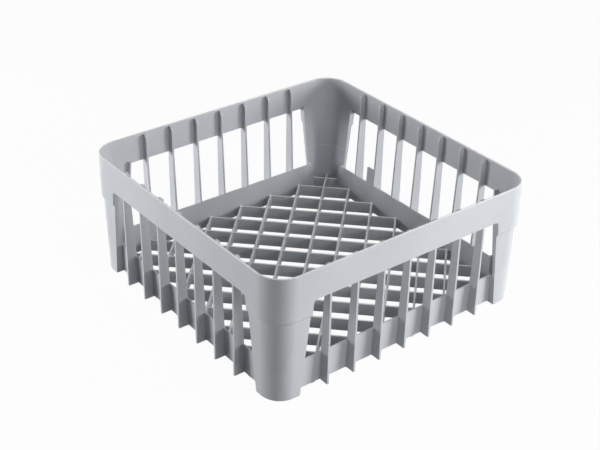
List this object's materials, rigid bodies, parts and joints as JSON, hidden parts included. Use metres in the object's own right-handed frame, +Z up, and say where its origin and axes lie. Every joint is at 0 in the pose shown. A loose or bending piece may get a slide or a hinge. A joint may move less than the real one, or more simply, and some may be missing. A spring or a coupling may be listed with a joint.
{
  "type": "dishwasher glass rack",
  "caption": "Square open basket moulded in one piece: plain rim band, rounded corner posts, upright fins, low skirt and a diagonal lattice floor, holding glasses in a glasswasher.",
  "frame": {"origin": "middle of the foot plane, which the rack rests on", "axes": "+Z up out of the open top; +X and +Y square to the sides; the tab is on the +X side"},
  "size_m": [0.35, 0.35, 0.15],
  "materials": {
    "rack_plastic": "satin light grey polypropylene"
  },
  "bodies": {
    "root": {"glass_rack": "rack_plastic"}
  },
  "joints": []
}
